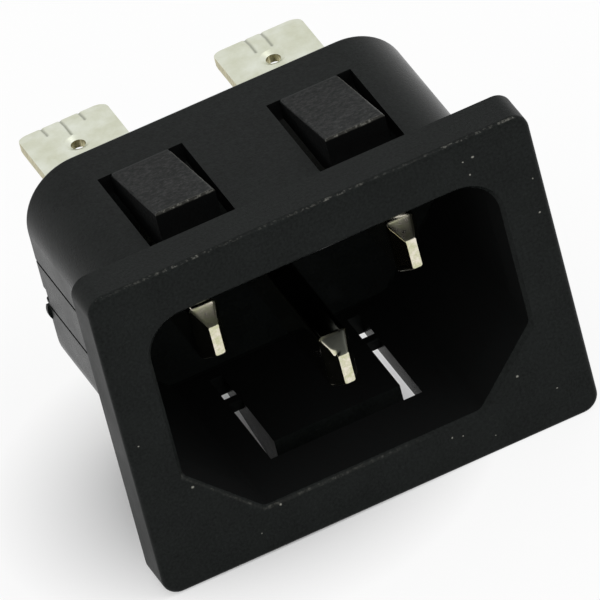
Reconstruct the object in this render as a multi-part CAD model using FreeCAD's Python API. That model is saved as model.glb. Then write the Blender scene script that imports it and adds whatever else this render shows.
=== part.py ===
"""C14 panel inlet socket: a snap-in housing with three blade contacts and three quick-connect tabs.

Frame: millimetres, +X to the right seen from the front, +Y back through the panel, +Z up.
The origin is the centre of the flange's rear face, the face that seats on the panel.
"""
import FreeCAD, Part
import math
import os

V = FreeCAD.Vector

# ---------------------------------------------------------------- driving dimensions
# Socket cavity, which takes the connector
cavity_width = 24.6
cavity_height = 16.8
cavity_depth = 15.8            # from the front face to the base
cavity_top_radius = 2.7
cavity_low_radius = 0.8        # at both ends of each sloping corner
cavity_slope_across = 4.6      # sloping lower corners, measured along X
cavity_slope_up = 4.9          # and along Z
mouth_chamfer = 0.25

# Walls of the body around the cavity
side_wall = 1.2
top_wall = 1.5                 # also the wall under the cavity
slope_wall = 1.2
base_wall = 2.3
body_low_radius = 3.0
body_rear_radius = 0.3

# Flange
flange_thickness = 3.0
flange_lip_side = 2.0          # how far it stands out beyond the body
flange_lip_top = 2.1
flange_corner_radius = 1.2
flange_edge_radius = 0.35

# Snap latches: tongues cut free from the wall, rooted at the rear
catch_gap = 3.0                # from the flange to the latch's free end: the thickest panel
window_lead = 1.4              # from the flange to the front of the window around a latch
window_length = 10.2
latch_rise = 2.0               # how far the free end stands out of the wall
latch_gap = 0.9                # slot on each side of a latch
latch_tip_chamfer = 0.1
latch_edge_radius = 0.2        # along both sides of the ramp
top_latch_width = 4.2
top_latch_spacing = 12.0
low_latch_width = 9.0
web_length = 0.6               # small webs that tie the lower latch to the floor
web_thickness = 0.8
web_from_window_end = 3.1

# Fine grooves along both sides of the body, with a notch and a bead at its rear edge
groove_width = 0.25
groove_depth = 0.25
upper_groove_height = 3.6      # above the centre
lower_groove_height = 0.1
notch_middle = 0.95
notch_height = 1.0
notch_length = 0.8
notch_depth = 0.15
bead_middle = -0.5
bead_height = 1.3
bead_length = 0.3
bead_rise = 0.2                # out of the body's side
bead_from_rear = 0.1

# Blade contacts
blade_pitch = 14.0             # line to neutral
earth_drop = 4.0               # earth sits this much lower
live_height = 2.7              # line and neutral above the centre of the cavity
blade_width = 4.0              # along Z
blade_thickness = 2.0          # along X
live_recess = 3.4              # tip behind the front face
earth_recess = 0.5
tip_length = 1.5
tip_width = 2.25
tip_thickness = 0.7
blade_edge_radius = 0.35
tip_edge_radius = 0.12
tenon_width = 2.2
tenon_thickness = 1.4
rivet_head_height = 0.5
rivet_head_spread = 0.35       # how far the head stands out beyond the tenon

# Quick-connect tabs, bent from one strip each
tab_width = 6.3
tab_thickness = 0.8
tab_reach = 10.1               # from the rear of the body to the tab's end
tab_corner = 0.8
tab_bevel_length = 1.0
tab_bevel_depth = 0.22
tab_bend_radius = 0.4          # inside
tab_shoulder = 1.8             # from the rear of the body to where the strip widens
leg_width = 4.0
leg_margin = 0.75              # leg beyond the rivet head, at its free end
head_to_bend = 0.3             # from the rivet head to where the bend starts
leg_seat_depth = 0.4           # recess in the base that stops the leg turning
tab_hole_radius = 0.5
tab_hole_from_end = 3.2
dimple_radius = 0.9            # coined lead-in around the hole, on the outer face
dimple_depth = 0.2
score_width = 0.32             # fine lines pressed into the strip at its end
score_depth = 0.08
side_score_offset = 1.35
side_score_length = 1.4
twin_score_offsets = (-0.7, 0.45)
twin_score_length = 2.2

fit_clearance = 0.05

# ---------------------------------------------------------------- derived dimensions
body_width = cavity_width + 2 * side_wall
body_height = cavity_height + 2 * top_wall
body_depth = cavity_depth + base_wall - flange_thickness
body_top_radius = cavity_top_radius + (side_wall + top_wall) / 2
flange_width = body_width + 2 * flange_lip_side
flange_height = body_height + 2 * flange_lip_top

front_y = -flange_thickness
base_y = front_y + cavity_depth          # floor of the socket, where the blades stand
rear_y = body_depth
seat_y = rear_y - leg_seat_depth         # where the tab legs bear on the base
rivet_reach = tenon_width / 2 + rivet_head_spread
leg_drop = rivet_reach + leg_margin      # leg below the blade's axis
tab_rise = rivet_reach + head_to_bend + tab_bend_radius + tab_thickness / 2
ceiling_z = cavity_height / 2
body_top_z = body_height / 2
window_start_y = window_lead
window_end_y = window_start_y + window_length

TOLERANCE = 1.0                # how far cutting tools run past what they cut


# ---------------------------------------------------------------- shared shapes
def rounded_wire(points, radii, place):
    """Closed wire through 2D points with a tangent arc of each radius; place() lifts 2D to 3D."""
    count = len(points)
    starts = []
    ends = []
    middles = []
    for i in range(count):
        corner = V(points[i][0], points[i][1], 0)
        before = V(*points[i - 1], 0) - corner
        after = V(*points[(i + 1) % count], 0) - corner
        before.normalize()
        after.normalize()
        half_angle = before.getAngle(after) / 2
        setback = radii[i] / math.tan(half_angle)
        bisector = before + after
        bisector.normalize()
        centre = corner + bisector * (radii[i] / math.sin(half_angle))
        starts.append(corner + before * setback)
        ends.append(corner + after * setback)
        middles.append(centre - bisector * radii[i])
    edges = []
    for i in range(count):
        if radii[i] > 0:
            arc = Part.Arc(place(starts[i]), place(middles[i]), place(ends[i]))
            edges.append(arc.toShape())
        edges.append(Part.makeLine(place(ends[i]), place(starts[(i + 1) % count])))
    return Part.Wire(edges)


def facing_front(y):
    """Placer for outlines drawn in X and Z at the given depth."""
    return lambda p: V(p.x, y, p.y)


def facing_side(x):
    """Placer for profiles drawn in Y and Z at the given place across."""
    return lambda p: V(x, p.x, p.y)


def facing_up(z):
    """Placer for plans drawn in X and Y at the given height."""
    return lambda p: V(p.x, p.y, z)


def box(x_range, y_range, z_range):
    """Box from its ranges."""
    size = [r[1] - r[0] for r in (x_range, y_range, z_range)]
    return Part.makeBox(*size, V(x_range[0], y_range[0], z_range[0]))


def prism(wire, direction):
    """Solid swept straight from a closed wire."""
    return Part.Face(wire).extrude(direction)


def centred(middle, width):
    """Range of the given width about a middle."""
    return (middle - width / 2, middle + width / 2)


def rounded_rectangle(middle, width, height, radius, place):
    """Wire of a rectangle with rounded corners."""
    (x0, x1), (z0, z1) = centred(middle[0], width), centred(middle[1], height)
    corners = [(x0, z0), (x1, z0), (x1, z1), (x0, z1)]
    return rounded_wire(corners, [radius] * 4, place)


# ---------------------------------------------------------------- housing
def socket_corners(width, height, slope_across, slope_up):
    """Corner points of the keyed socket outline: flat above, sloping corners below."""
    w = width / 2
    h = height / 2
    return [(-w, h), (-w, -h + slope_up), (-w + slope_across, -h),
            (w - slope_across, -h), (w, -h + slope_up), (w, h)]


def socket_radii(top, low):
    """Corner radii in the order of socket_corners."""
    return [top, low, low, low, low, top]


def cavity_wire(y, grow):
    """Outline of the cavity at a depth, grown outwards all round."""
    corners = socket_corners(cavity_width + 2 * grow, cavity_height + 2 * grow,
                             cavity_slope_across, cavity_slope_up)
    return rounded_wire(corners, socket_radii(cavity_top_radius + grow, cavity_low_radius), facing_front(y))


def body_wire(y):
    """Outline of the body, whose slopes run parallel to the cavity's at the slope wall."""
    across = cavity_slope_across
    up = cavity_slope_up
    length = math.hypot(across, up)
    # the cavity's slope line, moved outwards by the wall, then met with the body's side and floor
    x = -cavity_width / 2 - slope_wall * up / length
    z = -cavity_height / 2 + up - slope_wall * across / length
    z_at_side = z + (x + body_width / 2) * up / across
    x_at_floor = x + (z + body_height / 2) * across / up
    corners = socket_corners(body_width, body_height, x_at_floor + body_width / 2,
                             z_at_side + body_height / 2)
    return rounded_wire(corners, socket_radii(body_top_radius, body_low_radius), facing_front(y))


def flange():
    """Rectangular flange with rounded corners and a softened front edge."""
    wire = rounded_rectangle((0, 0), flange_width, flange_height, flange_corner_radius, facing_front(front_y))
    plate = prism(wire, V(0, flange_thickness, 0))
    front_edges = [e for e in plate.Edges if e.BoundBox.YMax < front_y + flange_edge_radius / 2]
    return plate.makeFillet(flange_edge_radius, front_edges)


def body():
    """Solid block behind the flange, with a softened rear edge."""
    block = prism(body_wire(0), V(0, body_depth, 0))
    rear_edges = [e for e in block.Edges if e.BoundBox.YMin > body_depth - body_rear_radius / 2]
    return block.makeFillet(body_rear_radius, rear_edges)


def cavity():
    """Space for the connector, with a chamfered mouth."""
    hollow = prism(cavity_wire(front_y - TOLERANCE, 0), V(0, cavity_depth + TOLERANCE, 0))
    mouth = Part.makeLoft([cavity_wire(front_y, mouth_chamfer), cavity_wire(front_y + mouth_chamfer, 0)],
                          True, True)
    return hollow.fuse(mouth)


def latch_sites():
    """Each latch as (middle across, width, +1 in the top wall or -1 in the floor)."""
    half = top_latch_spacing / 2
    return [(-half, top_latch_width, 1), (half, top_latch_width, 1), (0, low_latch_width, -1)]


def wall_range(side):
    """Height range of the wall above (+1) or below (-1) the cavity."""
    return tuple(sorted((side * ceiling_z, side * body_top_z)))


def window(middle, width, side):
    """Opening around a latch, right through the wall."""
    low, high = wall_range(side)
    return box(centred(middle, width + 2 * latch_gap), (window_start_y, window_end_y),
               (low - TOLERANCE / 2, high + TOLERANCE / 2))


def latch(middle, width, side):
    """Tongue with a ramp that rises from its root at the rear to its free end."""
    root = window_end_y + base_wall / 2
    crest = body_top_z + latch_rise
    ramp_start = catch_gap + latch_tip_chamfer
    profile = [(catch_gap, ceiling_z), (catch_gap, crest - latch_tip_chamfer),
               (ramp_start, crest), (window_end_y, body_top_z),
               (root, body_top_z), (root, ceiling_z)]
    wire = rounded_wire([(y, side * z) for y, z in profile], [0] * len(profile),
                        facing_side(middle - width / 2))
    tongue = prism(wire, V(width, 0, 0))

    # a bar that runs along the ramp, whose rounded corners soften the ramp's edges
    slope = (body_top_z - crest) / (window_end_y - ramp_start)
    front = catch_gap - TOLERANCE
    length = root + TOLERANCE - front
    bar_top = crest + slope * (front - ramp_start)
    bar_low = ceiling_z - TOLERANCE
    section = rounded_rectangle((middle, side * (bar_top + bar_low) / 2), width, bar_top - bar_low,
                                latch_edge_radius, facing_front(front))
    return tongue.common(prism(section, V(0, length, side * slope * length)))


def lower_webs():
    """Two thin webs that cross the slots beside the lower latch."""
    start = window_end_y - web_from_window_end
    webs = []
    for side in (-1, 1):
        middle = side * (low_latch_width + latch_gap) / 2
        webs.append(box(centred(middle, latch_gap + 2 * fit_clearance), (start, start + web_length),
                        (-ceiling_z - web_thickness, -ceiling_z)))
    return webs


def side_grooves():
    """Fine grooves along both sides of the body, and the notch in each rear edge."""
    cuts = []
    for side in (-1, 1):
        outer = side * (body_width / 2 + TOLERANCE)
        groove_x = tuple(sorted((side * (body_width / 2 - groove_depth), outer)))
        notch_x = tuple(sorted((side * (body_width / 2 - notch_depth), outer)))
        for height in (upper_groove_height, lower_groove_height):
            cuts.append(box(groove_x, (0, rear_y + TOLERANCE), centred(height, groove_width)))
        cuts.append(box(notch_x, (rear_y - notch_length, rear_y + TOLERANCE),
                        centred(notch_middle, notch_height)))
    return cuts


def rear_beads():
    """Short round-backed bead on each side of the body at its rear: a disc, mostly buried in the base."""
    radius = (bead_height ** 2 / 4 + bead_rise ** 2) / (2 * bead_rise)
    centre_x = body_width / 2 + bead_rise - radius
    start_y = rear_y - bead_from_rear - bead_length
    return [Part.makeCylinder(radius, bead_length, V(side * centre_x, start_y, bead_middle), V(0, 1, 0))
            for side in (-1, 1)]


# ---------------------------------------------------------------- contacts
def contact_sites():
    """Each contact by name: place across, height, tip recess, and +1 or -1 for a tab above or below."""
    return {
        "line": (-blade_pitch / 2, live_height, live_recess, 1),
        "neutral": (blade_pitch / 2, live_height, live_recess, 1),
        "earth": (0, live_height - earth_drop, earth_recess, -1),
    }


def blade(x, z, recess):
    """Blade with a tapered tip, a tenon through the base and the tab, and a riveted head."""
    tip_y = front_y + recess
    full_y = tip_y + tip_length
    tip = rounded_rectangle((x, z), tip_thickness, tip_width, tip_edge_radius, facing_front(tip_y))
    full = rounded_rectangle((x, z), blade_thickness, blade_width, blade_edge_radius, facing_front(full_y))
    taper = Part.makeLoft([tip, full], True, True)
    shank = prism(full, V(0, base_y - full_y, 0))
    head_y = seat_y + tab_thickness
    tenon = box(centred(x, tenon_thickness), (base_y, head_y), centred(z, tenon_width))
    head_root = rounded_rectangle((x, z), tenon_thickness + 2 * rivet_head_spread, 2 * rivet_reach,
                                  rivet_head_spread, facing_front(head_y))
    head_crown = rounded_rectangle((x, z), tenon_thickness, tenon_width, rivet_head_spread / 2,
                                   facing_front(head_y + rivet_head_height))
    head = Part.makeLoft([head_root, head_crown], True, True)
    return taper.multiFuse([shank, tenon, head]).removeSplitter()


def tenon_hole(x, z, y_range):
    """Clearance hole for a tenon."""
    return box(centred(x, tenon_thickness + 2 * fit_clearance), y_range,
               centred(z, tenon_width + 2 * fit_clearance))


def leg_height_range(z, side):
    """Height range of a tab's leg, from its free end to the outside of the bend."""
    return tuple(sorted((z - side * leg_drop, z + side * (tab_rise + tab_thickness / 2))))


def leg_seat(x, z, side):
    """Shallow recess in the rear of the base that holds a tab's leg square."""
    low, high = leg_height_range(z, side)
    return box(centred(x, leg_width + 2 * fit_clearance), (seat_y, rear_y + TOLERANCE),
               (low - fit_clearance, high + fit_clearance))


def tab(x, z, side, scores):
    """Tab bent from one strip: a narrow leg on the base, then the wide tongue with its hole."""
    end_y = rear_y + tab_reach
    middle = z + side * tab_rise
    outer = middle + side * tab_thickness / 2
    inner = middle - side * tab_thickness / 2
    foot = z - side * leg_drop
    leg_rear = seat_y + tab_thickness
    bevel = tab_bevel_depth * side
    profile = [(seat_y, foot), (seat_y, outer), (end_y - tab_bevel_length, outer), (end_y, outer - bevel),
               (end_y, inner + bevel), (end_y - tab_bevel_length, inner), (leg_rear, inner), (leg_rear, foot)]
    radii = [0, tab_bend_radius + tab_thickness, 0, 0, 0, 0, tab_bend_radius, 0]
    strip = prism(rounded_wire(profile, radii, facing_side(x - tab_width / 2)), V(tab_width, 0, 0))

    # plan of the strip: narrow leg, shoulders, full width with rounded corners at the end
    shoulder_y = rear_y + tab_shoulder
    narrow = leg_width / 2
    wide = tab_width / 2
    plan = [(x - narrow, seat_y - TOLERANCE), (x + narrow, seat_y - TOLERANCE), (x + narrow, shoulder_y),
            (x + wide, shoulder_y), (x + wide, end_y), (x - wide, end_y), (x - wide, shoulder_y),
            (x - narrow, shoulder_y)]
    low, high = sorted((foot, outer))
    plan_wire = rounded_wire(plan, [0, 0, 0, 0, tab_corner, tab_corner, 0, 0], facing_up(low - TOLERANCE))
    shape = strip.common(prism(plan_wire, V(0, 0, high - low + 2 * TOLERANCE)))

    hole_y = end_y - tab_hole_from_end
    hole = Part.makeCylinder(tab_hole_radius, 2 * tab_thickness, V(x, hole_y, middle - tab_thickness))
    dimple = Part.makeCone(dimple_radius, tab_hole_radius, dimple_depth, V(x, hole_y, outer), V(0, 0, -side))
    cuts = [hole, dimple, tenon_hole(x, z, (seat_y - TOLERANCE, leg_rear + TOLERANCE))]
    score_z = tuple(sorted((outer - side * score_depth, outer + side * TOLERANCE)))
    for offset, length in scores:
        cuts.append(box(centred(x + offset, score_width), (end_y - length, end_y + TOLERANCE), score_z))
    return shape.cut(Part.Compound(cuts))


def tab_scores():
    """Score lines of each tab as (offset across, length from the end)."""
    centre_score = (0, tab_hole_from_end - dimple_radius)
    side_scores = [(side * side_score_offset, side_score_length) for side in (-1, 1)]
    twin_scores = [(offset, twin_score_length) for offset in twin_score_offsets]
    return {"line": [centre_score] + side_scores, "neutral": twin_scores, "earth": [centre_score]}


def housing():
    """One moulding: flange, body, latches and the seats for the contacts."""
    shell = flange().fuse(body()).cut(cavity())
    shell = shell.cut(Part.Compound([window(*site) for site in latch_sites()]))
    shell = shell.multiFuse([latch(*site) for site in latch_sites()] + lower_webs() + rear_beads())
    cuts = side_grooves()
    for x, z, recess, side in contact_sites().values():
        cuts.append(tenon_hole(x, z, (base_y - TOLERANCE, rear_y + TOLERANCE)))
        cuts.append(leg_seat(x, z, side))
    return shell.cut(Part.Compound(cuts)).removeSplitter()


# ---------------------------------------------------------------- write the pieces
nodes = {"housing": housing()}
for name, (site_x, site_z, site_recess, site_side) in contact_sites().items():
    nodes[name + "_blade"] = blade(site_x, site_z, site_recess)
    nodes[name + "_tab"] = tab(site_x, site_z, site_side, tab_scores()[name])

os.makedirs("parts", exist_ok=True)
for name, shape in nodes.items():
    if not shape.isValid() or len(shape.Solids) != 1:
        raise ValueError(f"{name}: {len(shape.Solids)} solids, valid {shape.isValid()}")
    shape.Solids[0].exportStep(f"parts/{name}.step")
    print(f"{name}: {shape.Volume:.1f} mm3")
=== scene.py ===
"""C14 panel inlet socket: moulded housing, three blades and three tabs, on a pale floor.

Everything is in metres in the row frame: +X right, +Y back through the panel, +Z up, with the origin at
the centre of the flange's rear face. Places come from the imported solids; what is named here is finish.
"""
import math

import bpy
import numpy as np
from bpy.props import FloatProperty, FloatVectorProperty, PointerProperty
from mathutils import Matrix, Vector


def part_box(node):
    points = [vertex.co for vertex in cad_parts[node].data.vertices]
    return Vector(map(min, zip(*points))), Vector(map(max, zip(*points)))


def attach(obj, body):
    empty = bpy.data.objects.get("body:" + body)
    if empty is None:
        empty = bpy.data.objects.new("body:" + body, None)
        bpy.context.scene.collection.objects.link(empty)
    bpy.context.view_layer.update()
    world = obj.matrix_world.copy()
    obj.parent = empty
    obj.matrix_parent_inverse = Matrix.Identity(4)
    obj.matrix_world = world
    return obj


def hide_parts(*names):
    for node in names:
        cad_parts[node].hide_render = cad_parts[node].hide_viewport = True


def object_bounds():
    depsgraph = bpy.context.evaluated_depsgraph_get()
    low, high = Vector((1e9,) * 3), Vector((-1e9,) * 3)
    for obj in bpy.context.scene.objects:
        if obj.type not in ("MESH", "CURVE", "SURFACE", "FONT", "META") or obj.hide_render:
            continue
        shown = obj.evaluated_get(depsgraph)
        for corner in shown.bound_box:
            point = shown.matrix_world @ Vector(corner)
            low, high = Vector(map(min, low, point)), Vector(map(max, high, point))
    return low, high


bl_info = {
    "name": "C14 panel inlet socket",
    "version": (1, 0, 0),
    "blender": (4, 5, 0),
    "location": "3D View > Sidebar > Inlet",
    "description": "Finishes the packed inlet socket and sets its stage",
    "category": "Object",
}

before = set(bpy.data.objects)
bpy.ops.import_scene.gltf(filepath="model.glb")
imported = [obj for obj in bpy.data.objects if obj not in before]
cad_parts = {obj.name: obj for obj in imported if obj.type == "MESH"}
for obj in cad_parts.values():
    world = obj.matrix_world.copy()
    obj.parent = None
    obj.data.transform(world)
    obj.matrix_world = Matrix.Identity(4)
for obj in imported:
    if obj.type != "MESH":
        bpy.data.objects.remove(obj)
CAD_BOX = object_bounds()
MM = 0.001
CONTACTS = ("line", "neutral", "earth")
# each amount darkens that blade's upper and lower faces, the earth blade's the most
FACE_DARKENING = {"line": 0.0, "neutral": 0.35, "earth": 1.0}   # how dull each blade's upper and lower faces are
BRUISE = {"line": 0.0, "neutral": 0.0, "earth": 0.3}     # extra radius of the tip's knocked corner, in mm

# pressed lines beside the middle one at each tab's end: across and length, in mm
SIDE_LINES = {"line": ((-1.35, 1.4), (1.35, 1.4)), "neutral": ((-0.7, 2.2), (0.45, 2.2)), "earth": ()}
WITH_MIDDLE_LINE = ("line", "earth")                     # tabs that have the middle one

SLACK = 0.05             # how far masks end from the faces that bound them, in mm

# sockets of a Mix node that mixes colours
SHARE, UNDER, OVER, MIXED = 0, 6, 7, 2

# specks on the front of the flange: across, up and radius in millimetres
SPECKS = ((-11.97, -4.55, 0.11), (-14.67, 0.17, 0.08), (10.56, -6.99, 0.12), (12.91, -9.14, 0.08),
          (5.37, -9.39, 0.09), (6.08, -9.6, 0.07), (14.81, 6.99, 0.08), (14.7, 4.32, 0.08),
          (11.34, 10.47, 0.12), (10.64, 10.39, 0.07), (10.87, 9.27, 0.1), (-6.7, -8.67, 0.12),
          (-1.33, -8.53, 0.1), (-15.2, 11.7, 0.16), (8.2, -10.6, 0.06), (-8.4, -10.2, 0.05))


def linear(code):
    """Linear RGB of an sRGB hex colour."""
    values = [int(code[i:i + 2], 16) / 255 for i in (1, 3, 5)]
    return [v / 12.92 if v <= 0.04045 else ((v + 0.055) / 1.055) ** 2.4 for v in values]


# ---------------------------------------------------------------- settings
def length(name, description, millimetres):
    """A length setting, given in millimetres and kept in metres."""
    return FloatProperty(name=name, description=description, default=millimetres * MM, min=0,
                         subtype="DISTANCE", unit="LENGTH", precision=5)


def colour(name, description, code):
    """A colour setting from its sRGB hex value."""
    return FloatVectorProperty(name=name, description=description, default=linear(code), size=3,
                               min=0, max=1, subtype="COLOR")


class InletHousingSettings(bpy.types.PropertyGroup):
    """Finish of the moulding, and the sizes that tell it where the edges and faces are."""
    dark: colour("Plastic", "Colour of the black polyamide in the grain's pits", "#0b0d0c")
    light: colour("Plastic bloom", "Colour on the grain's tops, where it has a faint bloom", "#1f2221")
    # painted shade: this colour darkens the socket's walls, for the shade deep in the socket
    core: colour("Core side", "Colour of the smooth walls of the socket", "#121313")
    # painted shade: this colour darkens the steep faces in the latch windows, for the shade there
    window: colour("Window side", "Colour of the smooth faces inside the latch windows", "#090a0a")
    # this pale colour also paints a highlight along the ramps' right edges, on the lamp's side
    scuff_and_highlight: colour("Scuff", "Colour of burnished edges and specks", "#c4c3b8")
    grain: length("Grain", "Spacing of the spark-eroded grain", 0.2)
    grain_depth: length("Grain depth", "Depth of the grain", 0.007)
    socket_width: length("Socket width", "Width of the socket", 24.6)
    socket_height: length("Socket height", "Height of the socket", 16.8)
    socket_depth: length("Socket depth", "From the front face to the base", 15.8)
    slope_across: length("Slope across", "Width of each sloping lower corner of the socket", 4.6)
    slope_up: length("Slope up", "Height of each sloping lower corner of the socket", 4.9)
    flange: length("Flange", "Thickness of the flange", 3.0)
    flange_top: length("Flange top", "Top of the flange above the centre", 12.0)
    wall_top: length("Wall top", "Top of the body above the centre", 9.9)
    catch_gap: length("Catch gap", "From the flange to the latches' free ends", 3.0)
    latch_spacing: length("Latch spacing", "Between the middles of the two upper latches", 12.0)
    window_width: length("Window width", "Width of the opening around a latch", 6.0)
    window_start: length("Window start", "From the flange to the opening", 1.4)
    window_length: length("Window length", "Length of the opening around a latch", 10.2)


class InletBladeSettings(bpy.types.PropertyGroup):
    """Sizes and finish of the blades; their places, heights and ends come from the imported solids."""
    tip_width: length("Tip width", "Height of the flat at the tip", 2.25)
    tip_thickness: length("Tip thickness", "Thickness of the flat at the tip", 0.7)
    tip_length: length("Tip length", "Length of the taper", 1.5)
    thickness: length("Thickness", "Thickness of the blade", 2.0)
    corner: length("Corner", "Radius along the blade's edges", 0.35)
    tenon_width: length("Tenon width", "Height of the tenon through the base", 2.2)
    tenon_thickness: length("Tenon thickness", "Thickness of the tenon", 1.4)
    shank: length("Shank", "From the flange's rear face to the shoulder", 12.8)
    head_height: length("Head height", "Height of the riveted head", 0.5)
    metal: colour("Plating", "Colour of the bright nickel on brass", "#e8e1d0")
    worn: colour("Worn plating", "Colour where the milled tip shows brass through the nickel", "#c3c59c")
    # the upper and lower faces are coloured towards this by each blade's own amount
    tarnish: colour("Tarnish", "Colour of the upper and lower faces where they have dulled", "#454640")


class InletTabSettings(bpy.types.PropertyGroup):
    """Sizes and finish of the tabs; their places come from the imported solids."""
    thickness: length("Thickness", "Thickness of the strip", 0.8)
    leg_width: length("Leg width", "Width of the strip on the base", 4.0)
    bend: length("Bend", "Radius inside the bend", 0.4)
    shoulder: length("Shoulder", "From the strip's front to where it widens", 2.2)
    corner: length("Corner", "Radius of the corners at the end", 0.8)
    hole: length("Hole", "Radius of the hole", 0.5)
    hole_place: length("Hole place", "From the end to the hole", 3.2)
    dimple: length("Dimple", "Radius of the coined lead-in", 0.9)
    dimple_depth: length("Dimple depth", "Depth of the lead-in", 0.2)
    bevel: length("Bevel", "Length of the bevel at the end", 1.0)
    bevel_depth: length("Bevel depth", "Depth of the bevel on each face", 0.22)
    score_width: length("Score width", "Width of the pressed lines", 0.32)
    score_depth: length("Score depth", "Depth of the pressed lines", 0.08)
    tenon_gap: length("Tenon gap", "Clearance around the tenon", 0.05)
    tin: colour("Tin", "Colour of the tin plating", "#dcdfd2")
    stain: colour("Stain", "Colour of the dull film on the tin", "#c9cbb6")
    brass: colour("Brass", "Colour of the sheared brass", "#cfc8a0")
    # the pressed lines are coloured darker, towards this colour
    score_tone: colour("Score", "Colour of the tarnish in the pressed lines", "#9c9e90")


class InletStageSettings(bpy.types.PropertyGroup):
    """Floor, light and camera."""
    floor: colour("Floor", "Colour of the floor", "#fafafa")
    floor_size: length("Floor size", "Side of the floor", 3000.0)
    dome: FloatProperty(name="Dome", description="Strength of the light from all around", default=0.8)
    key: FloatProperty(name="Key", description="Power of the soft lamp", default=1.2, unit="POWER")
    azimuth: FloatProperty(name="Azimuth", description="Camera's direction round the object",
                           default=math.radians(-14.595), unit="ROTATION", subtype="ANGLE")
    elevation: FloatProperty(name="Elevation", description="Camera's height above the horizon",
                             default=math.radians(36.154), unit="ROTATION", subtype="ANGLE")
    roll: FloatProperty(name="Roll", description="Camera's turn about its own axis",
                        default=math.radians(15.086), unit="ROTATION", subtype="ANGLE")
    distance: length("Distance", "From the camera to the point that it looks at", 1061.7)
    view_width: length("View width", "Width that the picture spans at that point", 38.06)


# ---------------------------------------------------------------- node trees
def add(tree, kind, inputs=(), **settings):
    """Adds one node with its settings; an input is a value, a socket or a node, meaning its first output."""
    node = tree.nodes.new("ShaderNode" + kind)
    for name, value in settings.items():
        setattr(node, name, value)
    pairs = inputs.items() if isinstance(inputs, dict) else enumerate(inputs)
    for key, value in pairs:
        socket = node.inputs[key]
        if isinstance(value, bpy.types.Node):
            value = value.outputs[0]
        if isinstance(value, bpy.types.NodeSocket):
            tree.links.new(value, socket)
        elif socket.type == "RGBA" and len(value) == 3:
            socket.default_value = (*value, 1)
        else:
            socket.default_value = value
    return node


def new_material(name):
    """Empty node material with its tree, its output and coordinates in millimetres."""
    material = bpy.data.materials.new(name)
    material.use_nodes = True
    tree = material.node_tree
    tree.nodes.clear()
    output = add(tree, "OutputMaterial")
    place = add(tree, "TexCoord").outputs["Object"]
    scaled = add(tree, "VectorMath", {0: place, "Scale": 1 / MM}, operation="SCALE").outputs[0]
    return material, tree, output, scaled


def showing(tree):
    """1 on rays that show the background: the camera's, and those seen in metal or through glass."""
    path = add(tree, "LightPath").outputs
    reflected = add(tree, "Math", [path["Is Glossy Ray"], path["Is Transmission Ray"]], operation="MAXIMUM")
    return add(tree, "Math", [path["Is Camera Ray"], reflected], operation="MAXIMUM")


def socket_outline(tree, side, z, look):
    """How far a point lies outside the socket: the most that it is past a side, a slope or the floor."""
    half_width = look.socket_width / 2 / MM
    half_height = look.socket_height / 2 / MM
    slope = Vector((look.slope_up, 0, -look.slope_across)).normalized()
    start = slope.dot(Vector((half_width, 0, look.slope_up / MM - half_height)))
    beyond = add(tree, "CombineXYZ", [side, 0.0, z])
    along_slope = add(tree, "VectorMath", [beyond, slope], operation="DOT_PRODUCT").outputs["Value"]
    side_off = add(tree, "Math", [side, half_width], operation="SUBTRACT")
    slope_off = add(tree, "Math", [along_slope, start], operation="SUBTRACT")
    floor_off = add(tree, "Math", [z, -1.0, -half_height], operation="MULTIPLY_ADD")
    outline = add(tree, "Math", [side_off, slope_off], operation="MAXIMUM")
    return add(tree, "Math", [outline, floor_off], operation="MAXIMUM")


def socket_inside(tree, outline, y, z, look):
    """1 on the socket's walls, a little short of the mouth and of the base; 0 elsewhere."""
    short = 0.3
    below_top = add(tree, "Math", [z, look.socket_height / 2 / MM], operation="SUBTRACT")
    within = add(tree, "Math", [outline, below_top], operation="MAXIMUM")
    within = add(tree, "Math", [within, SLACK], operation="LESS_THAN")
    mouth = -look.flange / MM
    base = look.socket_depth / MM + mouth
    middle = (base + mouth) / 2
    deep = add(tree, "Math", [y, middle, middle - mouth - short], operation="COMPARE")
    return add(tree, "Math", [within, deep], operation="MULTIPLY")


def latch_faces(tree, side, y, z, normal_y, normal_z, look):
    """1 on the steep faces in the upper latch windows, and 1 on the ramps that stand above the body there."""
    below_socket_top = 1.4       # the first mask starts this far below the top of the socket
    half_length = look.window_length / 2 / MM
    beside = add(tree, "Math", [side, look.latch_spacing / 2 / MM, look.window_width / 2 / MM + SLACK],
                 operation="COMPARE")
    behind = add(tree, "Math", [y, look.window_start / MM + half_length, half_length + SLACK],
                 operation="COMPARE")
    opening = add(tree, "Math", [beside, behind], operation="MULTIPLY")
    high = add(tree, "Math", [z, look.socket_height / 2 / MM - below_socket_top], operation="GREATER_THAN")
    upright = add(tree, "MapRange", [normal_z, 0.4, 0.15, 0.0, 1.0])
    forward = add(tree, "MapRange", [normal_y, -0.35, -0.6, 0.0, 1.0])
    steep = add(tree, "Math", [upright, forward], operation="MAXIMUM")
    # the steep faces in the latch windows, which take painted shade
    window = add(tree, "Math", [opening, high], operation="MULTIPLY")
    window = add(tree, "Math", [window, steep], operation="MULTIPLY")
    raised = add(tree, "Math", [z, look.wall_top / MM + SLACK], operation="GREATER_THAN")
    return window, add(tree, "Math", [opening, raised], operation="MULTIPLY")


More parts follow.
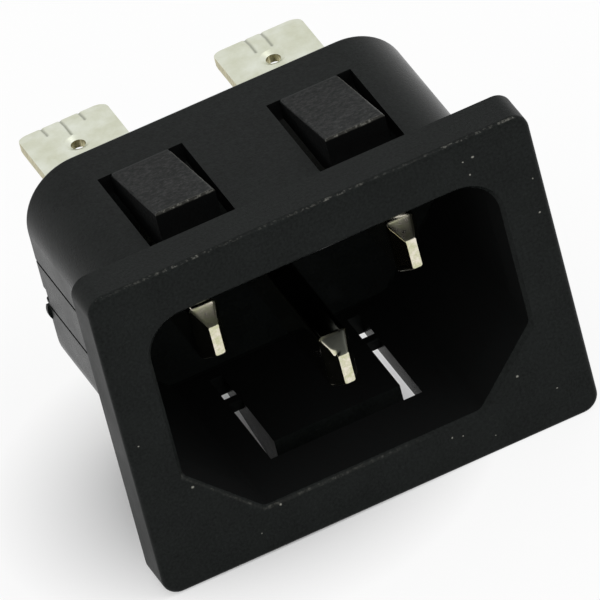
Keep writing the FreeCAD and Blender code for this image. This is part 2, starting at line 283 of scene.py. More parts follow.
def burnished(tree, place, outline, ramp, dots, look):
    """How far the skin is worn in dashes along rubbed edges and specks on the flange's front, plus a painted
    highlight on the ramps' right edges.

    The rubbing fades with the distance from a line along each edge; the painted highlight on the ramps' right
    edges follows the turn of the normal; the dots break both up.
    """
    x, y, z = add(tree, "SeparateXYZ", [place]).outputs
    normal = add(tree, "NewGeometry").outputs["Normal"]
    normal_x, _, normal_z = add(tree, "SeparateXYZ", [normal]).outputs
    profile = add(tree, "CombineXYZ", [0.0, y, z])
    front_y = -look.flange / MM
    top_z = look.flange_top / MM
    crest_in, crest_down = 0.16, 0.05      # the crest's line, from the flange's front and its top, in mm
    rim_out = 0.14                         # the rim's line, from the socket's outline
    tip_in, tip_down = 0.05, 0.15          # the tips' line, from the free ends and from the flange's top

    # the flange's upper front edge, in runs about 2 mm long
    clump = add(tree, "TexNoise", {"Vector": place, "Scale": 0.55, "Detail": 2.0})
    runs = add(tree, "MapRange", [clump, 0.37, 0.7, 0.04, 0.3])
    crest = (0.0, front_y + crest_in, top_z - crest_down)
    crest_off = add(tree, "VectorMath", [profile, crest], operation="DISTANCE").outputs["Value"]
    crest_near = add(tree, "MapRange", [crest_off, 0.12, 0.04, 0.0, 1.0])
    crest_wear = add(tree, "Math", [dots, runs], operation="MULTIPLY")
    crest_wear = add(tree, "Math", [crest_wear, crest_near], operation="MULTIPLY")

    # the socket's rim, below and to the left
    rim_off = add(tree, "Math", [outline, rim_out], operation="SUBTRACT")
    rim_off = add(tree, "Math", [rim_off], operation="ABSOLUTE")
    rim_wear = add(tree, "Math", [dots, 0.09, 0.012], operation="MULTIPLY_ADD")
    for near in (add(tree, "MapRange", [rim_off, 0.13, 0.03, 0.0, 1.0]),
                 add(tree, "MapRange", [y, front_y + 0.13, front_y + 0.2, 1.0, 0.0]),
                 add(tree, "MapRange", [x, 4.1, -0.5, 0.0, 1.0]),
                 add(tree, "MapRange", [z, -2.0, -4.0, 0.0, 1.0])):
        rim_wear = add(tree, "Math", [rim_wear, near], operation="MULTIPLY")

    # the ramps' right edges, on the lamp's side, get a painted highlight; their free ends are worn
    right_edge_highlight = add(tree, "Math", [dots, 0.22, 0.08], operation="MULTIPLY_ADD")
    for near in (add(tree, "MapRange", [normal_x, 0.3, 0.63, 0.0, 1.0]),
                 add(tree, "MapRange", [normal_z, 0.35, 0.6, 0.0, 1.0])):
        right_edge_highlight = add(tree, "Math", [right_edge_highlight, near], operation="MULTIPLY")
    tip = (0.0, look.catch_gap / MM + tip_in, top_z - tip_down)
    tip_off = add(tree, "VectorMath", [profile, tip], operation="DISTANCE").outputs["Value"]
    tip_near = add(tree, "MapRange", [tip_off, 0.15, 0.07, 0.0, 1.0])
    tip_wear = add(tree, "Math", [dots, 0.28, 0.05], operation="MULTIPLY_ADD")
    tip_wear = add(tree, "Math", [tip_wear, tip_near], operation="MULTIPLY")
    ramp_highlight_and_wear = add(tree, "Math", [right_edge_highlight, tip_wear], operation="MAXIMUM")
    ramp_highlight_and_wear = add(tree, "Math", [ramp_highlight_and_wear, ramp], operation="MULTIPLY")

    # specks, each at its place on the front, with edges made ragged by shaking the place
    shake = 0.16
    ragged = add(tree, "TexNoise", {"Vector": place, "Scale": 3.0}).outputs["Color"]
    shaken = add(tree, "VectorMath", [ragged, (shake, shake, shake), place], operation="MULTIPLY_ADD")
    # rubbed edges and the painted highlight on the ramps together; the specks join below
    wear_and_highlight = add(tree, "Math", [crest_wear, rim_wear], operation="MAXIMUM")
    wear_and_highlight = add(tree, "Math", [wear_and_highlight, ramp_highlight_and_wear], operation="MAXIMUM")
    for speck_x, speck_z, radius in SPECKS:
        centre = (speck_x + shake / 2, front_y + shake / 2, speck_z + shake / 2)
        speck_off = add(tree, "VectorMath", [shaken, centre], operation="DISTANCE").outputs["Value"]
        speck = add(tree, "MapRange", [speck_off, 0.93 * radius, 0.27 * radius, 0.0, 0.5])
        wear_and_highlight = add(tree, "Math", [wear_and_highlight, speck], operation="MAXIMUM")
    return wear_and_highlight


def moulded_polyamide(look):
    """Black polyamide 66 moulded in a spark-eroded tool.

    Near-black and matt, with a fine even grain that turns to a pale sheen at a glancing view. Edges that rub
    are burnished in dashes, and a few pale specks lie on the front. A painted highlight lies along the ramps'
    right edges; painted shade darkens the socket's walls, the steep faces in the latch windows and the ramps.
    """
    material, tree, output, place = new_material("moulded black polyamide")
    x, y, z = add(tree, "SeparateXYZ", [place]).outputs
    normal = add(tree, "NewGeometry").outputs["Normal"]
    normal_x, normal_y, normal_z = add(tree, "SeparateXYZ", [normal]).outputs
    side = add(tree, "Math", [x], operation="ABSOLUTE")
    outline = socket_outline(tree, side, z, look)

    # painted shade: the socket's walls and the steep faces in the latch windows are coloured darker than the
    # rest, for the shade in these recesses
    socket = socket_inside(tree, outline, y, z, look)
    window, ramp = latch_faces(tree, side, y, z, normal_y, normal_z, look)

    # bloom: soft patches about 3 mm across; grain: what the spark-eroded tool leaves, at the set spacing,
    # with pits at 0.6 of it; mottle: about 0.3 mm apart, for the ramps and the worn edges
    bloom = add(tree, "TexNoise", {"Vector": place, "Scale": 0.35, "Detail": 3.0, "Roughness": 0.6})
    grain = add(tree, "TexNoise", {"Vector": place, "Scale": MM / look.grain, "Detail": 2.0,
                                   "Roughness": 0.6})
    mottle = add(tree, "TexNoise", {"Vector": place, "Scale": 3.2, "Detail": 3.0, "Roughness": 0.7})
    pits = add(tree, "TexVoronoi", {"Vector": place, "Scale": 1.6 * MM / look.grain}).outputs["Distance"]
    # on the ramps the mottle sits below its middle, so the ramps are coloured darker as a whole: painted
    # shade as well as mottle
    ramp_mottle_and_shade = add(tree, "Math", [mottle, 0.62], operation="SUBTRACT")
    ramp_mottle_and_shade = add(tree, "Math", [ramp_mottle_and_shade, ramp], operation="MULTIPLY")
    tone = add(tree, "Math", [bloom, 0.6, -0.55], operation="MULTIPLY_ADD")
    tone = add(tree, "Math", [grain, 1.5, tone], operation="MULTIPLY_ADD")
    tone = add(tree, "Math", [ramp_mottle_and_shade, 4.0, tone], operation="MULTIPLY_ADD", use_clamp=True)
    dots = add(tree, "MapRange", [mottle, 0.5, 0.7, 0.0, 1.0])
    wear_and_highlight = burnished(tree, place, outline, ramp, dots, look)
    # in turn: the moulding's own tone, painted shade on the socket's walls and in the latch windows, then
    # rubbed edges, specks and a painted highlight on the ramps' right edges
    shade = look.dark
    for share, over in ((tone, look.light), (socket, look.core), (window, look.window), (wear_and_highlight, look.scuff_and_highlight)):
        shade = add(tree, "Mix", {SHARE: share, UNDER: shade, OVER: over}, data_type="RGBA").outputs[MIXED]

    # roughness: the top faces, the flange's sides and the ramps were sparked coarser; the socket and the
    # windows have no sheen
    upper = add(tree, "MapRange", [normal_z, 0.84, 1.04, 0.0, 0.2])
    sideways = add(tree, "Math", [normal_x], operation="ABSOLUTE")
    edge_on = add(tree, "MapRange", [sideways, 0.5, 0.75, 0.0, 0.14])
    on_flange = add(tree, "Math", [y, -0.01], operation="LESS_THAN")
    flange_side = add(tree, "Math", [edge_on, on_flange], operation="MULTIPLY")
    dull = add(tree, "Math", [socket, window], operation="MAXIMUM")
    dull = add(tree, "Math", [dull, 0.4], operation="MULTIPLY")
    matt = add(tree, "Math", [ramp, 0.18], operation="MULTIPLY")
    rough = add(tree, "MapRange", [bloom, 0.3, 0.7, 0.24, 0.32])
    for extra in (upper, flange_side, dull, matt, ramp_mottle_and_shade):
        rough = add(tree, "Math", [rough, extra], operation="ADD")
    height = add(tree, "Math", [pits, 0.5, grain], operation="MULTIPLY_ADD")
    height = add(tree, "Math", [ramp_mottle_and_shade, 1.4, height], operation="MULTIPLY_ADD")
    bump = add(tree, "Bump", {"Height": height, "Distance": look.grain_depth, "Strength": 1.0})
    shader = add(tree, "BsdfPrincipled", {"Base Color": shade, "Roughness": rough, "Normal": bump,
                                          "IOR": 1.53, "Specular IOR Level": 0.06})
    tree.links.new(shader.outputs[0], output.inputs[0])
    return material


def nickelled_brass(look):
    """Drawn brass bar with milled tips, plated with bright nickel over the draw marks.

    Warm pale metal, nearly a mirror, drawn out along the blade by hair-fine lines.
    """
    material, tree, output, place = new_material("nickelled drawn brass")
    taper, burr, tarnish = (add(tree, "Attribute", attribute_name=name).outputs["Fac"]
                            for name in ("milled", "burr", "tarnish"))
    normal = add(tree, "NewGeometry").outputs["Normal"]
    normal_z = add(tree, "SeparateXYZ", [normal]).outputs["Z"]
    level = add(tree, "Math", [normal_z], operation="ABSOLUTE")
    flat = add(tree, "Math", [level, 5.0, -2.5], operation="MULTIPLY_ADD", use_clamp=True)
    milled = add(tree, "Math", [taper, flat], operation="MULTIPLY")

    # draw marks 0.05 mm apart, drawn at 0.12 mm so that they show
    drawn = add(tree, "Mapping", {"Vector": place, "Scale": (8.0, 0.35, 8.0)})
    marks = add(tree, "TexNoise", {"Vector": drawn, "Scale": 1.0, "Detail": 3.0})
    # cutter marks and worn plating on the milled tip, about 0.5 mm across
    cloud = add(tree, "TexNoise", {"Vector": place, "Scale": 2.0, "Detail": 3.0, "Roughness": 0.65})
    patchy = add(tree, "Math", [cloud, 4.0, -1.5], operation="MULTIPLY_ADD", use_clamp=True)
    patchy = add(tree, "Math", [patchy, 0.8], operation="MULTIPLY")
    worn = add(tree, "Math", [taper, patchy], operation="MULTIPLY")
    # the upper and lower faces are coloured darker by each blade's own amount, except at the burr
    clean = add(tree, "Math", [1.0, burr], operation="SUBTRACT")
    darkened = add(tree, "Math", [flat, clean], operation="MULTIPLY")
    darkened = add(tree, "Math", [tarnish, darkened], operation="MULTIPLY")
    shade = look.metal
    for share, over in ((worn, look.worn), (darkened, look.tarnish)):
        shade = add(tree, "Mix", {SHARE: share, UNDER: shade, OVER: over}, data_type="RGBA").outputs[MIXED]

    satin = add(tree, "Math", [cloud, 0.25, 0.08], operation="MULTIPLY_ADD")
    rough = add(tree, "Math", [milled, satin, 0.1], operation="MULTIPLY_ADD")
    torn = add(tree, "Math", [burr, 0.6], operation="MULTIPLY")
    rough = add(tree, "Math", [rough, torn], operation="MAXIMUM")
    cut = add(tree, "Math", [milled, cloud], operation="MULTIPLY")
    height = add(tree, "Math", [cut, 12.0, marks], operation="MULTIPLY_ADD")
    bump = add(tree, "Bump", {"Height": height, "Distance": 0.0003 * MM, "Strength": 1.0})
    shader = add(tree, "BsdfPrincipled", {"Base Color": shade, "Metallic": 1.0, "Roughness": rough,
                                          "Normal": bump})
    tree.links.new(shader.outputs[0], output.inputs[0])
    return material


def tinned_strip(look):
    """Rolled brass strip, tin plated before it was stamped.

    Pale satin metal with a dull greenish film in soft patches; the pressed lines are coloured darker.
    """
    material, tree, output, place = new_material("tinned rolled brass")
    # the film gathers in patches about 2 mm across
    film = add(tree, "TexNoise", {"Vector": place, "Scale": 0.6, "Detail": 4.0, "Roughness": 0.6})
    filmed = add(tree, "Math", [film, 2.6, -0.8], operation="MULTIPLY_ADD", use_clamp=True)
    pressed = add(tree, "Attribute", attribute_name="pressed").outputs["Fac"]
    shade = look.tin
    for share, over in ((filmed, look.stain), (pressed, look.score_tone)):
        shade = add(tree, "Mix", {SHARE: share, UNDER: shade, OVER: over}, data_type="RGBA").outputs[MIXED]
    # rolling marks 0.05 mm apart, drawn at 0.15 mm so that they show
    rolled = add(tree, "Mapping", {"Vector": place, "Scale": (6.5, 0.5, 0.5)})
    marks = add(tree, "TexNoise", {"Vector": rolled, "Scale": 1.0, "Detail": 3.0})
    rough = add(tree, "MapRange", [film, 0.3, 0.7, 0.3, 0.44])
    bump = add(tree, "Bump", {"Height": marks, "Distance": 0.004 * MM, "Strength": 1.0})
    shader = add(tree, "BsdfPrincipled", {"Base Color": shade, "Metallic": 1.0, "Roughness": rough,
                                          "Normal": bump})
    tree.links.new(shader.outputs[0], output.inputs[0])
    return material


def sheared_brass(look):
    """Bare brass where the strip was sheared and punched: yellow, with short marks across the edge."""
    material, tree, output, place = new_material("sheared brass")
    # shear marks 0.08 mm apart run through the thickness, drawn at 0.14 mm so that they show
    sheared = add(tree, "Mapping", {"Vector": place, "Scale": (7.0, 7.0, 1.2)})
    marks = add(tree, "TexNoise", {"Vector": sheared, "Scale": 1.0, "Detail": 4.0})
    deep = add(tree, "Math", [marks, 2.4, -0.8], operation="MULTIPLY_ADD", use_clamp=True)
    dull = [value * 0.45 for value in look.brass]
    shade = add(tree, "Mix", {SHARE: deep, UNDER: look.brass, OVER: dull}, data_type="RGBA").outputs[MIXED]
    rough = add(tree, "MapRange", [marks, 0.0, 1.0, 0.3, 0.5])
    bump = add(tree, "Bump", {"Height": marks, "Distance": 0.01 * MM, "Strength": 1.0})
    shader = add(tree, "BsdfPrincipled", {"Base Color": shade, "Metallic": 1.0, "Roughness": rough,
                                          "Normal": bump})
    tree.links.new(shader.outputs[0], output.inputs[0])
    return material


# ---------------------------------------------------------------- surfaces
def set_mesh(name, points, faces, materials, face_materials=None, marks=None):
    """Object from arrays of points and faces, smooth except at its edges; marks are values at its points."""
    mesh = bpy.data.meshes.new(name)
    mesh.from_pydata(points.tolist(), [], faces)
    for material in materials:
        mesh.materials.append(material)
    if face_materials is not None:
        mesh.polygons.foreach_set("material_index", face_materials)
    for mark, values in (marks or {}).items():
        mesh.attributes.new(mark, "FLOAT", "POINT").data.foreach_set("value", values)
    mesh.polygons.foreach_set("use_smooth", np.ones(len(mesh.polygons), bool))
    mesh.set_sharp_from_angle(angle=math.radians(32))
    piece = bpy.data.objects.new(name, mesh)
    bpy.context.scene.collection.objects.link(piece)
    return piece


def blade_surface(centre_x, centre_z, tip_y, rear_y, width, head_half, bruise, look):
    """Rounded rectangle carried along Y.

    Its two half sizes grow from the tip's flat, over a lip of a quarter circle, along a straight taper that
    runs softly into the shank. They drop at the shoulder to the tenon, and end in a head where they shrink
    along a quarter ellipse. head_half is half the head's size across, and bruise is the extra radius of the
    knocked corner.
    """
    soft = 0.05 * MM             # over which the taper runs into the shank
    lip = 0.1 * MM               # radius round the flat at the tip
    tip_corner = 0.16 * MM
    tenon_corner = 0.1 * MM
    crown_loss = 0.62            # share of the head's half sizes that is gone at its crown
    knock_place, knock_width = 0.35 * MM, 0.17 * MM      # from the tip, and along the blade
    burr_width = 0.09 * MM       # along the blade
    shoulder = look.shank - tip_y
    head = rear_y - look.head_height - tip_y
    breaks = look.tip_length + soft * np.linspace(-5, 5, 21)
    along = np.concatenate([lip * (1 - np.cos(np.linspace(0, np.pi / 2, 7))),
                            np.linspace(lip * 1.5, breaks[0], 10, endpoint=False), breaks,
                            np.linspace(breaks[-1], shoulder, 14)[1:]])
    lead = np.maximum(lip - along, 0)
    inset = lip - np.sqrt(np.maximum(lip ** 2 - lead ** 2, 0))
    ease = soft * np.log1p(np.exp((look.tip_length - along) / soft)) / look.tip_length
    half_x = look.thickness / 2 - (look.thickness - look.tip_thickness) / 2 * ease - inset
    half_z = width / 2 - (width - look.tip_width) / 2 * ease - inset
    corner = look.corner - (look.corner - tip_corner) * ease - inset * 0.5

    # tenon, then the head, domed like a quarter ellipse
    turn = np.linspace(0, np.pi / 2, 12)
    tenon_x = look.tenon_thickness / 2
    tenon_z = look.tenon_width / 2
    reach = head_half - tenon_x
    rise = look.head_height * np.sin(turn)
    shrink = crown_loss * (1 - np.cos(turn))
    along = np.concatenate([along, [shoulder, head], head + rise])
    half_x = np.concatenate([half_x, [tenon_x] * 2, head_half * (1 - shrink)])
    half_z = np.concatenate([half_z, [tenon_z] * 2, (tenon_z + reach) * (1 - shrink)])
    corner = np.concatenate([corner, [tenon_corner] * 2, reach * (1 - shrink * 0.5)])
    assert abs(tip_y + along[-1] - rear_y) < 1e-7

    # one quarter turn of each corner, then the side that follows it; the upper left corner is knocked rounder
    knocked = bruise * np.exp(-((along - knock_place) / knock_width) ** 2)
    radii = np.stack([corner, corner + knocked, corner, corner])[:, :, None].transpose(1, 0, 2)
    steps = np.linspace(0, np.pi / 2, 7)
    angles = steps[None, :] + np.arange(4)[:, None] * np.pi / 2
    sign_x = np.array([1, -1, -1, 1])[:, None]
    sign_z = np.array([1, 1, -1, -1])[:, None]
    arcs = np.stack([sign_x * (half_x[:, None, None] - radii) + radii * np.cos(angles),
                     sign_z * (half_z[:, None, None] - radii) + radii * np.sin(angles)], -1)
    share = np.linspace(0, 1, 8)[1:-1]
    next_start = np.roll(arcs[:, :, 0], -1, 1)
    sides = arcs[:, :, -1, None] * (1 - share)[:, None] + next_start[:, :, None] * share[:, None]
    ring = np.concatenate([arcs, sides], 2).reshape(len(along), -1, 2)
    count = ring.shape[1]
    points = np.stack([centre_x + ring[..., 0], np.broadcast_to((tip_y + along)[:, None], ring.shape[:2]),
                       centre_z + ring[..., 1]], -1).reshape(-1, 3)
    row = np.arange(len(along) - 1)[:, None] * count
    here = np.arange(count)[None, :]
    beyond = (here + 1) % count
    quads = np.stack([row + here, row + here + count, row + beyond + count, row + beyond], -1).reshape(-1, 4)
    last = (len(along) - 1) * count

    # marks for the material: the milled taper, and the burr on its upper left where it meets the shank
    milled = np.repeat(np.clip((look.tip_length - along) / soft + 1, 0, 1), count)
    left = np.clip(0.4 - 1.2 * ring[..., 0] / look.thickness, 0, 1)
    above = np.clip((ring[..., 1] - (half_z - corner)[:, None]) / corner[:, None], 0, 1)
    burr = np.exp(-((along - look.tip_length) / burr_width) ** 2)[:, None] * left * above
    faces = quads.tolist() + [list(range(count)), list(range(last + count - 1, last - 1, -1))]
    return points, faces, {"milled": milled, "burr": burr.ravel()}


def grid_lines(stops, step):
    """Lines from the first stop to the last, about a step apart, with one on every stop."""
    stops = np.unique(np.round(stops, 9))
    counts = np.maximum(1, np.ceil(np.diff(stops) / step - 1e-6).astype(int))
    runs = [np.linspace(a, b, n, endpoint=False) for a, b, n in zip(stops[:-1], stops[1:], counts)]
    return np.concatenate(runs + [stops[-1:]])


def tab_surface(centre_x, centre_z, low, high, side, tenon, lines, look):
    """Strip worked out flat, then bent.

    The plan has one parameter across and one along the strip's middle. Two sheets stand off it by half the
    thickness, less a straight bevel at the end; the outer one is lowered further by a cone round the hole or
    a raised-cosine groove at each pressed line, whichever is deeper. Walls join their rims. The bend turns
    the offset about the bend's centre by arc length over radius. side is 1 where the tab lies above its leg
    and -1 where it lies below; tenon is the tenon's thickness and width; each line is a place across and a
    length.
    """
    step_across, step_along = 0.07 * MM, 0.08 * MM
    frame_half = 1.2 * MM        # half the square round the hole that the polar patch fills
    ring_gap = 0.06 * MM         # from the dimple's edge to the ring that keeps it crisp
    fade_length = 0.15 * MM      # over which a pressed line comes up to the surface
    middle_radius = look.bend + look.thickness / 2
    seat_y = low.y
    outer = high.z if side > 0 else low.z
    foot = low.z if side > 0 else high.z
    bend_y = seat_y + look.thickness + look.bend
    bend_z = outer - side * (look.thickness + look.bend)
    leg = abs(bend_z - foot)
    arc = middle_radius * np.pi / 2
    end = leg + arc + high.y - bend_y
    half = (high.x - low.x) / 2
    shoulder = leg + arc + seat_y + look.shoulder - bend_y
    hole = end - look.hole_place
    leg_half = look.leg_width / 2
    gap_x = look.tenon_gap + tenon[0] / 2
    gap_z = look.tenon_gap + tenon[1] / 2
    axis = abs(centre_z - foot)

    corner_from = half - look.corner
    arc_stops = corner_from + look.corner * np.sin(np.linspace(0, np.pi / 2, 10))
    across = grid_lines(np.concatenate([-arc_stops, arc_stops, [-leg_half, leg_half, -frame_half, frame_half,
                                                                -gap_x, gap_x]]), step_across)
    along = grid_lines(np.array([0, axis - gap_z, axis + gap_z, leg, leg + arc, shoulder, hole - frame_half,
                                 hole + frame_half, end]), step_along)
    p, q = np.meshgrid(across, along, indexing="ij")
    number = np.arange(p.size).reshape(p.shape)

    # rounded corners: lines near the end draw back as the arc does
    beyond = np.maximum(np.abs(p) - corner_from, 0)
    drawn = look.corner - np.sqrt(np.maximum(look.corner ** 2 - beyond ** 2, 0))
    settle = end - 2 * look.corner
    q = np.where(q > settle, settle + (q - settle) * (end - drawn - settle) / (end - settle), q)

    # cells that are metal
    mid_p = (across[1:] + across[:-1])[:, None] / 2
    mid_q = (along[1:] + along[:-1])[None, :] / 2
    solid = (np.abs(mid_p) < leg_half) | (mid_q > shoulder)
    solid &= ~((np.abs(mid_p) < frame_half) & (np.abs(mid_q - hole) < frame_half))
    solid &= ~((np.abs(mid_p) < gap_x) & (np.abs(mid_q - axis) < gap_z))
    cells = np.stack([number[:-1, :-1], number[1:, :-1], number[1:, 1:], number[:-1, 1:]], -1)[solid]

    # polar patch between the hole and the square around it
    i0, i1 = np.searchsorted(across, [-frame_half - 1e-9, frame_half - 1e-9])
    j0, j1 = np.searchsorted(along, [hole - frame_half - 1e-9, hole + frame_half - 1e-9])
    square = np.concatenate([number[i0:i1, j0], number[i1, j0:j1],
                             number[i1:i0:-1, j1], number[i0, j1:j0:-1]])
    edge = np.stack([p.ravel()[square], q.ravel()[square] - hole], -1)
    unit = edge / np.linalg.norm(edge, axis=1, keepdims=True)
    rings = np.concatenate([np.linspace(look.hole, look.dimple, 9), [look.dimple + ring_gap]])
    inner = unit[None] * rings[:, None, None]
    share = np.linspace(0, 1, 5)[1:-1, None, None]
    outward = inner[-1] * (1 - share) + edge * share
    patch = np.concatenate([inner, outward])
    count = len(square)
    names = np.concatenate([p.size + np.arange(len(patch) * count).reshape(-1, count), square[None]])
    turn = np.roll(names, -1, 1)
    polar = np.stack([names[:-1], names[1:], turn[1:], turn[:-1]], -1).reshape(-1, 4)
    plan = np.concatenate([np.stack([p.ravel(), q.ravel()], -1), patch.reshape(-1, 2) + [0, hole]])
    cells = np.concatenate([cells, polar])
    used, cells = np.unique(cells, return_inverse=True)
    cells = cells.reshape(-1, 4)
    plan = plan[used]

    # offsets of the two sheets
    p, q = plan[:, 0], plan[:, 1]
    radius = np.hypot(p, q - hole)
    cone = look.dimple_depth * np.clip((look.dimple - radius) / (look.dimple - look.hole), 0, 1)
    pressed = np.zeros(len(plan))
    for offset, reach in lines:
        across_line = np.clip(np.abs(p - offset) / (look.score_width / 2), 0, 1)
        fade = np.clip((q - (end - reach)) / fade_length, 0, 1)
        pressed = np.maximum(pressed, np.cos(across_line * np.pi / 2) ** 2 * fade)
    bevel = look.bevel_depth * np.clip(1 - (end - q) / look.bevel, 0, 1)
    top = look.thickness / 2 - np.maximum(cone, look.score_depth * pressed) - bevel
    bottom = -look.thickness / 2 + bevel

    def bent(offset):
        """Places of the plan's points at an offset from the strip's middle."""
        angle = np.clip((q - leg) / middle_radius, 0, np.pi / 2)
        run = np.maximum(q - leg - arc, 0)
        stand = np.maximum(leg - q, 0)
        return np.stack([centre_x + p, bend_y - (middle_radius + offset) * np.cos(angle) + run,
                         bend_z + side * ((middle_radius + offset) * np.sin(angle) - stand)], -1)

    count = len(plan)
    points = np.concatenate([bent(top), bent(bottom)])
    starts = cells.ravel()
    ends = np.roll(cells, -1, 1).ravel()
    key = starts * count + ends
    rim = ~np.isin(ends * count + starts, key)
    walls = np.stack([ends[rim], starts[rim], starts[rim] + count, ends[rim] + count], -1)
    faces = np.concatenate([cells, cells[:, ::-1] + count, walls])
    if side < 0:
        faces = faces[:, ::-1]
    kinds = np.concatenate([np.zeros(2 * len(cells), np.int32), np.ones(len(walls), np.int32)])
    return points, faces, kinds, np.concatenate([pressed, np.zeros(count)])


# ---------------------------------------------------------------- operators
AIM = Vector((-1.218, -0.095, 3.428)) * MM       # the point that the camera looks at
KEY_PLACE = Vector((0.38, -0.2, 0.6))            # the lamp, from the object's middle, in metres
KEY_SIZE = 0.5                                   # across the lamp, in metres
SHADED = (-6.0, 6.6)                             # middle of the shaded floor, in mm
SHADE_ENDS = (7.0, 17.0)                         # the floor whitens between these distances from it, in mm
OPEN_FLOOR = 0.85                                # how white it gets there


class INLET_OT_housing(bpy.types.Operator):
    """Give the moulded housing its finish"""
    bl_idname = "inlet.housing"
    bl_label = "Finish the housing"

    def execute(self, context):
        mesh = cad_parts["housing"].data
        mesh.materials.clear()
        mesh.materials.append(moulded_polyamide(context.scene.inlet_housing))
        return {"FINISHED"}


class INLET_OT_blades(bpy.types.Operator):
    """Make the three blades with their tapered tips and riveted heads"""
    bl_idname = "inlet.blades"
    bl_label = "Make the blades"

    def execute(self, context):
        look = context.scene.inlet_blades
        metal = nickelled_brass(look)
        for name in CONTACTS:
            low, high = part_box(name + "_blade")
            centre = (low + high) / 2
            points, faces, marks = blade_surface(centre.x, centre.z, low.y, high.y, high.z - low.z,
                                                 (high.x - low.x) / 2, BRUISE[name] * MM, look)
            marks["tarnish"] = np.full(len(points), FACE_DARKENING[name])
            piece = set_mesh(name + "_blade_metal", points, faces, [metal], marks=marks)
            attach(piece, "root")
            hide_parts(name + "_blade")
        return {"FINISHED"}


class INLET_OT_tabs(bpy.types.Operator):
    """Make the three bent tabs with their holes and pressed lines"""
    bl_idname = "inlet.tabs"
    bl_label = "Make the tabs"

    def execute(self, context):
        look = context.scene.inlet_tabs
        blades = context.scene.inlet_blades
        tenon = (blades.tenon_thickness, blades.tenon_width)
        metals = [tinned_strip(look), sheared_brass(look)]
        for name in CONTACTS:
            low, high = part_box(name + "_tab")
            blade_low, blade_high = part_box(name + "_blade")
            axis = (blade_low + blade_high) / 2
            side = 1 if high.z - axis.z > axis.z - low.z else -1
            lines = [(offset * MM, reach * MM) for offset, reach in SIDE_LINES[name]]
            if name in WITH_MIDDLE_LINE:
                lines.append((0.0, look.hole_place - look.dimple))
            points, faces, kinds, pressed = tab_surface(axis.x, axis.z, low, high, side, tenon, lines, look)
            piece = set_mesh(name + "_tab_metal", points, faces.tolist(), metals, kinds, {"pressed": pressed})
            edges = piece.modifiers.new("rolled edges", "BEVEL")
            edges.width = 0.05 * MM
            edges.segments = 2
            edges.limit_method = "ANGLE"
            edges.angle_limit = math.radians(50)
            edges.harden_normals = True
            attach(piece, "root")
            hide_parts(name + "_tab")
        return {"FINISHED"}


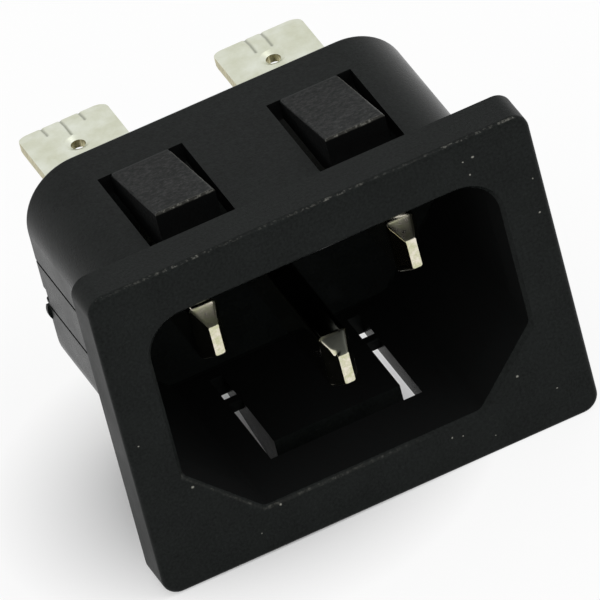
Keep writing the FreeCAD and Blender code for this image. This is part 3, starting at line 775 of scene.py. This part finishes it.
class INLET_OT_stage(bpy.types.Operator):
    """Lay the floor and set the soft light and the camera"""
    bl_idname = "inlet.stage"
    bl_label = "Set the stage"

    def execute(self, context):
        scene = context.scene
        look = scene.inlet_stage
        low, high = CAD_BOX

        # floor: a square sheet at the object's lowest point
        side = look.floor_size / 2
        corners = np.array([[-1, -1], [1, -1], [1, 1], [-1, 1]]) * side
        points = np.column_stack([corners, np.full(4, low.z)])
        floor_material, tree, output, place = new_material("matt white paper")
        seen = showing(tree)
        paper = add(tree, "BsdfPrincipled", {"Base Color": look.floor, "Roughness": 0.9,
                                             "Specular IOR Level": 0.0})
        # seen directly or in metal, the floor turns white away from the object, sooner on the lamp's side
        white = add(tree, "Emission", {"Color": (1.0, 1.0, 1.0), "Strength": 1.0})
        shaded = (*SHADED, low.z / MM)
        outward = add(tree, "VectorMath", [place, shaded], operation="DISTANCE").outputs["Value"]
        open_floor = add(tree, "MapRange", [outward, *SHADE_ENDS, 0.0, OPEN_FLOOR])
        open_floor = add(tree, "Math", [seen, open_floor], operation="MULTIPLY")
        lit = add(tree, "MixShader", [open_floor, paper, white])
        tree.links.new(lit.outputs[0], output.inputs[0])
        floor = set_mesh("floor", points, [[0, 1, 2, 3]], [floor_material])

        # dome: white to the camera and in reflections, softer as light
        world = bpy.data.worlds.new("white dome")
        scene.world = world
        world.use_nodes = True
        tree = world.node_tree
        tree.nodes.clear()
        seen = showing(tree)
        strength = add(tree, "MapRange", [seen, 0.0, 1.0, look.dome, 1.0])
        background = add(tree, "Background", {"Color": (1.0, 1.0, 1.0), "Strength": strength})
        tree.links.new(background.outputs[0], add(tree, "OutputWorld").inputs[0])

        # key: one large soft lamp above, in front and to the right
        centre = (low + high) / 2
        lamp = bpy.data.lights.new("soft key", "AREA")
        lamp.shape = "DISK"
        lamp.size = KEY_SIZE
        lamp.energy = look.key
        key = bpy.data.objects.new("soft key", lamp)
        key.location = centre + KEY_PLACE
        key.rotation_mode = "QUATERNION"
        key.rotation_quaternion = (centre - key.location).to_track_quat("-Z", "Y")
        scene.collection.objects.link(key)

        # camera: round the object by azimuth and elevation, then rolled about its own axis
        camera = bpy.data.cameras.new("camera")
        camera.sensor_width = 36.0
        camera.lens = camera.sensor_width * look.distance / look.view_width
        camera.clip_start = 0.1
        camera.clip_end = 10.0
        level = look.elevation
        back = Vector((math.sin(look.azimuth) * math.cos(level), -math.cos(look.azimuth) * math.cos(level),
                       math.sin(level)))
        eye = bpy.data.objects.new("camera", camera)
        turn = (-back).to_track_quat("-Z", "Y").to_matrix() @ Matrix.Rotation(-look.roll, 3, "Z")
        eye.matrix_world = Matrix.Translation(AIM + back * look.distance) @ turn.to_4x4()
        scene.collection.objects.link(eye)
        scene.camera = eye
        scene.view_settings.view_transform = "Standard"
        return {"FINISHED"}


class INLET_PT_panel(bpy.types.Panel):
    """Lists the pieces of the inlet and its stage"""
    bl_label = "C14 panel inlet"
    bl_space_type = "VIEW_3D"
    bl_region_type = "UI"
    bl_category = "Inlet"

    def draw(self, context):
        layout = self.layout
        for settings, operator in (("inlet_housing", "inlet.housing"), ("inlet_blades", "inlet.blades"),
                                   ("inlet_tabs", "inlet.tabs"), ("inlet_stage", "inlet.stage")):
            group = getattr(context.scene, settings)
            layout.operator(operator)
            for name in group.__annotations__:
                layout.prop(group, name)


SETTINGS = {"inlet_housing": InletHousingSettings, "inlet_blades": InletBladeSettings,
            "inlet_tabs": InletTabSettings, "inlet_stage": InletStageSettings}
CLASSES = (*SETTINGS.values(), INLET_OT_housing, INLET_OT_blades, INLET_OT_tabs, INLET_OT_stage,
           INLET_PT_panel)


def register():
    for item in CLASSES:
        bpy.utils.register_class(item)
    for name, group in SETTINGS.items():
        setattr(bpy.types.Scene, name, PointerProperty(type=group))


def unregister():
    for name in SETTINGS:
        delattr(bpy.types.Scene, name)
    for item in reversed(CLASSES):
        bpy.utils.unregister_class(item)


def main():
    """Makes the pieces and the stage in order."""
    register()
    bpy.ops.inlet.housing()
    bpy.ops.inlet.blades()
    bpy.ops.inlet.tabs()
    bpy.ops.inlet.stage()


if __name__ == "__main__":
    main()
